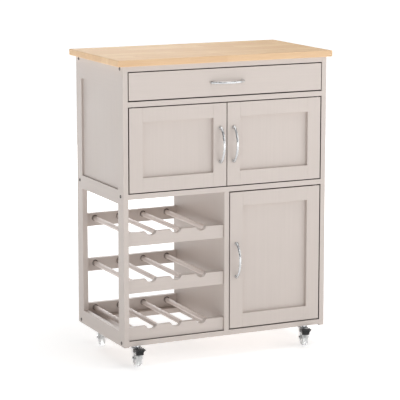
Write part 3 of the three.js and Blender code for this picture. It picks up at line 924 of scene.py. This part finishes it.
def fork_sheet(bm, matrix, braked):
    """The pressed fork before it gets its thickness: a crown with an arm folded down on each side."""
    h = FORK["half"]
    top = FORK["top"]
    reach = -FORK["reach"]
    axle = (-WHEEL["trail"], -WHEEL["drop"])

    def at(x, y, z):
        return bm.verts.new(matrix @ vec(x, y, z))

    shoulder = FORK["shoulder"]
    corners = {(side, y): at(side * h, y, top) for side in (-1, 1) for y in (shoulder, reach)}
    nose = [at(x, shoulder + y * 0.6, top) for x, y in arc((0, 0), h, 0, 180, 16)[1:-1]]
    right = [corners[1, reach], corners[1, shoulder]]
    left = [corners[-1, shoulder], corners[-1, reach]]
    bm.faces.new(right + nose + left)
    folds = []
    for side in (-1, 1):
        outline = [(shoulder - 0.6 * MM, top - 4.5 * MM)]
        outline += arc(axle, FORK["eye"], 33, -180, 18)
        if braked:
            outline += [(reach - 3.2 * MM, PEDAL["z"] - 5.5 * MM)]
            outline += arc((PEDAL["y"], PEDAL["z"]), 4.4 * MM, -100, -260, 12)
        else:
            outline += [(reach - 0.2 * MM, top - 10 * MM)]
        rim = [at(side * h, y, z) for y, z in outline]
        bm.faces.new([corners[side, shoulder], *rim, corners[side, reach]])
        folds.append(bm.edges.get((corners[side, shoulder], corners[side, reach])))
    bmesh.ops.bevel(bm, geom=folds, offset=FORK["fold"], segments=5, profile=0.5, affect="EDGES")


def castor_fork(corner, matrix, braked):
    """The pressed fork, and as a second piece its lower race, rivet, axle and brake pin."""
    bm = bmesh.new()
    fork_sheet(bm, matrix, braked)
    fork = object_from(bm, f"{corner}_fork_pressing")
    solid = fork.modifiers.new("steel", "SOLIDIFY")
    solid.thickness = FORK["steel"]
    solid.offset = -1
    bevel(fork, 0.35 * MM, 2)
    place(fork, f"{corner}_castor", ZINC, [f"{corner}_castor_fork"])

    bm = bmesh.new()
    race = in_mm(
        (0, -4.8), (12.0, -4.8), (15.2, -6.2), (15.6, -8.4), (13.2, -10.4), (12.0, -12.2), (0, -12.2)
    )
    lathe(bm, race, 40, matrix)
    rivet = in_mm((0, -13.6), (5.2, -13.6), (4.6, -15.6), (2.4, -16.6), (0, -16.8))
    lathe(bm, rivet, 28, matrix)
    centre = matrix @ vec(0, -WHEEL["trail"], -WHEEL["drop"])
    across = matrix.to_3x3() @ vec(1, 0, 0)
    outside = FORK["half"]
    shaft_radius = 2.9 * MM
    shaft = [
        (0, -outside - 1 * MM), (shaft_radius, -outside - 1 * MM),
        (shaft_radius, outside + 3.4 * MM), (0, outside + 3.8 * MM),
    ]
    lathe(bm, shaft, 24, turned(across, centre))
    head = in_mm((0, 0), (4.6, 0), (4.6, 2.3), (3.8, 3.0), (0, 3.0))
    lathe(bm, head, 6, turned(-across, centre - across * outside))
    lathe(bm, head, 6, turned(across, centre + across * outside))
    if braked:
        pin = matrix @ vec(0, PEDAL["y"], PEDAL["z"])
        rod_radius = 2.2 * MM
        rod = [
            (0, -outside - 1.2 * MM), (rod_radius, -outside - 1.0 * MM),
            (rod_radius, outside + 1.0 * MM), (0, outside + 1.2 * MM),
        ]
        lathe(bm, rod, 20, turned(across, pin))
    inside = bevel(object_from(bm, f"{corner}_race_and_axle"), 0.25 * MM, 2)
    place(inside, f"{corner}_castor", ZINC)


def castor_wheel(corner, matrix):
    """A clear moulded wheel with a thin web, and its steel bush."""
    r = WHEEL["radius"]
    w = WHEEL["half"]
    centre = matrix @ vec(0, -WHEEL["trail"], -WHEEL["drop"])
    across = matrix.to_3x3() @ vec(1, 0, 0)
    axle = turned(across, centre)
    half_profile = [
        (4.2 * MM, w + 1.4 * MM), (6.6 * MM, w + 1.4 * MM), (7.2 * MM, w + 0.8 * MM), (7.8 * MM, 3.2 * MM),
        (9 * MM, 2.2 * MM), (16.6 * MM, 2.2 * MM), (17.8 * MM, 3.4 * MM), (18.4 * MM, w - 0.7 * MM),
        (19 * MM, w), (20.4 * MM, w), (22.4 * MM, w - 1.3 * MM), (24 * MM, w - 3.6 * MM),
        (24.8 * MM, w - 6.2 * MM), (r, 0),
    ]
    profile = [(a, -b) for a, b in half_profile] + [(a, b) for a, b in reversed(half_profile[:-1])]
    bm = bmesh.new()
    lathe(bm, profile, 72, axle)
    moulding = object_from(bm, f"{corner}_wheel_moulding")
    place(moulding, f"{corner}_wheel", CLEAR, [f"{corner}_castor_wheel"])
    bm = bmesh.new()
    bore = 3.0 * MM
    bush_radius = 4.1 * MM
    end = w + 1.3 * MM
    lathe(bm, [(bore, -end), (bush_radius, -end), (bush_radius, end), (bore, end)], 32, axle)
    place(object_from(bm, f"{corner}_wheel_bush"), f"{corner}_wheel", ZINC)


def brake_pedal(corner, matrix):
    """A black pedal: hub, shoe block with upright ribs, two cheeks, and a ribbed foot plate."""
    half = PEDAL["half"]
    foot_half = 14.5 * MM
    ridge_half = 12.5 * MM

    def at(a, b, c):
        return matrix @ vec(c, a, b)

    shoe = arc((-WHEEL["trail"], -WHEEL["drop"]), WHEEL["radius"] + 3.7 * MM, 154, 124, 8)
    block = in_mm((-33.5, -10.7), (-48, -8.6), (-51, -11.5), (-50, -25)) + shoe
    foot = in_mm(
        (-39.5, -12.2), (-39.5, -9.6), (-50, -8.2), (-61, -6.7), (-62, -7.6), (-61.4, -9), (-51, -12.2)
    )
    bm = bmesh.new()
    extrude_outline(bm, block, -half, half, at)
    extrude_outline(bm, foot, -foot_half, foot_half, at)
    hub = [(1.9 * MM, -half), (3.4 * MM, -half), (3.4 * MM, half), (1.9 * MM, half)]
    across = matrix.to_3x3() @ vec(1, 0, 0)
    lathe(bm, hub, 28, turned(across, matrix @ vec(0, PEDAL["y"], PEDAL["z"])))
    cheek = in_mm((-27, -11.5), (-30, -9.2), (-46, -8.6), (-47, -14), (-38, -20.5), (-29, -19))
    cheek_in = FORK["half"] + 0.7 * MM
    cheek_out = FORK["half"] + 2.5 * MM
    for side in (-1, 1):
        extrude_outline(bm, cheek, side * cheek_in, side * cheek_out, at)
    ribs = 6
    rib = in_mm((-50.6, -12.4), (-52.0, -13.2), (-51.2, -23.8), (-49.8, -24.6))
    for i in range(ribs):
        x = (-1 + 2 * i / (ribs - 1)) * (half - 1.2 * MM)
        extrude_outline(bm, rib, x - 0.7 * MM, x + 0.7 * MM, at)
    ridges = 4
    for i in range(ridges):
        y = -52.5 - 2.6 * i
        z = -8.1 + 0.355 * i
        ridge = in_mm((y + 0.6, z - 0.5), (y + 0.5, z + 0.75), (y - 0.5, z + 0.85), (y - 0.6, z - 0.3))
        extrude_outline(bm, ridge, -ridge_half, ridge_half, at)
    pedal = bevel(object_from(bm, f"{corner}_brake_moulding"), 0.4 * MM, 2)
    place(pedal, f"{corner}_brake", BLACK, [f"{corner}_brake_pedal"])


for corner in ("front_left", "front_right", "rear_left", "rear_right"):
    matrix = castor_matrix(corner)
    braked = f"{corner}_brake_press" in JOINTS
    castor_plate(corner, matrix)
    castor_fork(corner, matrix, braked)
    castor_wheel(corner, matrix)
    if braked:
        brake_pedal(corner, matrix)

# ---------------------------------------------------------------- floor, light and camera

FLOOR_HALF = 40
GLOW = {"near": 0.8, "far": 3.0, "low": 0.46, "high": 0.95}  # the floor's own light, by distance
WORLD_STRENGTH = 0.18
AIM = (0, 0, 0.45)  # where the lamps point
LAMPS = (  # name, place, width and height, power
    ("key_front", (1.2, -3.6, 2.6), (2.2, 2.2), 20),
    ("key_right", (3.6, -1.8, 1.6), (2.2, 2.2), 33),
    ("key_low", (2.0, -3.6, 0.5), (2.0, 0.8), 10),
    ("front_low", (0.6, -4.0, 0.5), (2.0, 0.8), 8),
    ("left_low", (-2.4, -2.4, 0.4), (2.0, 0.8), 7),
    ("left", (-2.8, 0.2, 0.6), (2.0, 0.8), 6),
    ("top", (0.2, -0.4, 3.2), (2.4, 2.4), 36),
    ("rear", (0.3, 3.6, 1.2), (3.0, 2.4), 76),
)
CAMERA = {
    "place": (-2.2626, -4.7597, 1.4027), "heading": 25.312, "pitch": 9.835,
    "lens": 165.2, "sensor": 36, "shift_x": 0.0042, "shift_y": -0.0485,
}


def floor():
    """A white sweep, lit from the lamps near the cart and bright by itself further off."""
    bm = bmesh.new()
    bmesh.ops.create_grid(bm, x_segments=1, y_segments=1, size=FLOOR_HALF)
    obj = object_from(bm, "floor", smooth=False)
    s = Shader("pale_floor", (0.90, 0.90, 0.90), 0.9)
    cloud = s.noise(s.position, scale=2.0, detail=2)
    s.wear(s.mix(s.spread(cloud, 0, 1), (0.90, 0.90, 0.90), (0.91, 0.91, 0.91)))
    distance = s.node("ShaderNodeVectorMath", operation="LENGTH")
    s.link(s.position, distance.inputs[0])
    glow = s.spread(distance.outputs["Value"], GLOW["low"], GLOW["high"], GLOW["near"], GLOW["far"])
    s.link(glow, s.surface.inputs["Emission Strength"])
    s.set("Emission Color", (1, 1, 1, 1))
    s.set("Specular IOR Level", 0.0)
    obj.data.materials.append(s.material)


def area_light(name, place_at, size, power):
    """A soft box that looks at the middle of the cart and isn't seen itself."""
    light = bpy.data.lights.new(name, "AREA")
    light.shape = "RECTANGLE"
    light.size = size[0]
    light.size_y = size[1]
    light.energy = power
    obj = bpy.data.objects.new(name, light)
    obj.location = place_at
    obj.rotation_euler = (Vector(AIM) - Vector(place_at)).to_track_quat("-Z", "Y").to_euler()
    obj.visible_camera = False
    bpy.context.scene.collection.objects.link(obj)


def studio():
    """A dim white surround and the soft boxes."""
    world = bpy.data.worlds.new("studio")
    world.use_nodes = True
    background = world.node_tree.nodes["Background"]
    background.inputs["Color"].default_value = (1.0, 1.0, 1.0, 1)
    background.inputs["Strength"].default_value = WORLD_STRENGTH
    bpy.context.scene.world = world
    bpy.context.scene.view_settings.view_transform = "Standard"
    for lamp in LAMPS:
        area_light(*lamp)


def camera():
    """A long lens at the front left, above the worktop and pitched down a little."""
    data = bpy.data.cameras.new("camera")
    data.sensor_width = CAMERA["sensor"]
    data.lens = CAMERA["lens"]
    data.shift_x = CAMERA["shift_x"]
    data.shift_y = CAMERA["shift_y"]
    data.clip_end = 200
    obj = bpy.data.objects.new("camera", data)
    obj.location = CAMERA["place"]
    heading = math.radians(CAMERA["heading"])
    pitch = math.radians(CAMERA["pitch"])
    obj.rotation_euler = (math.pi / 2 - pitch, 0, -heading)
    bpy.context.scene.collection.objects.link(obj)
    bpy.context.scene.camera = obj


floor()
studio()
camera()
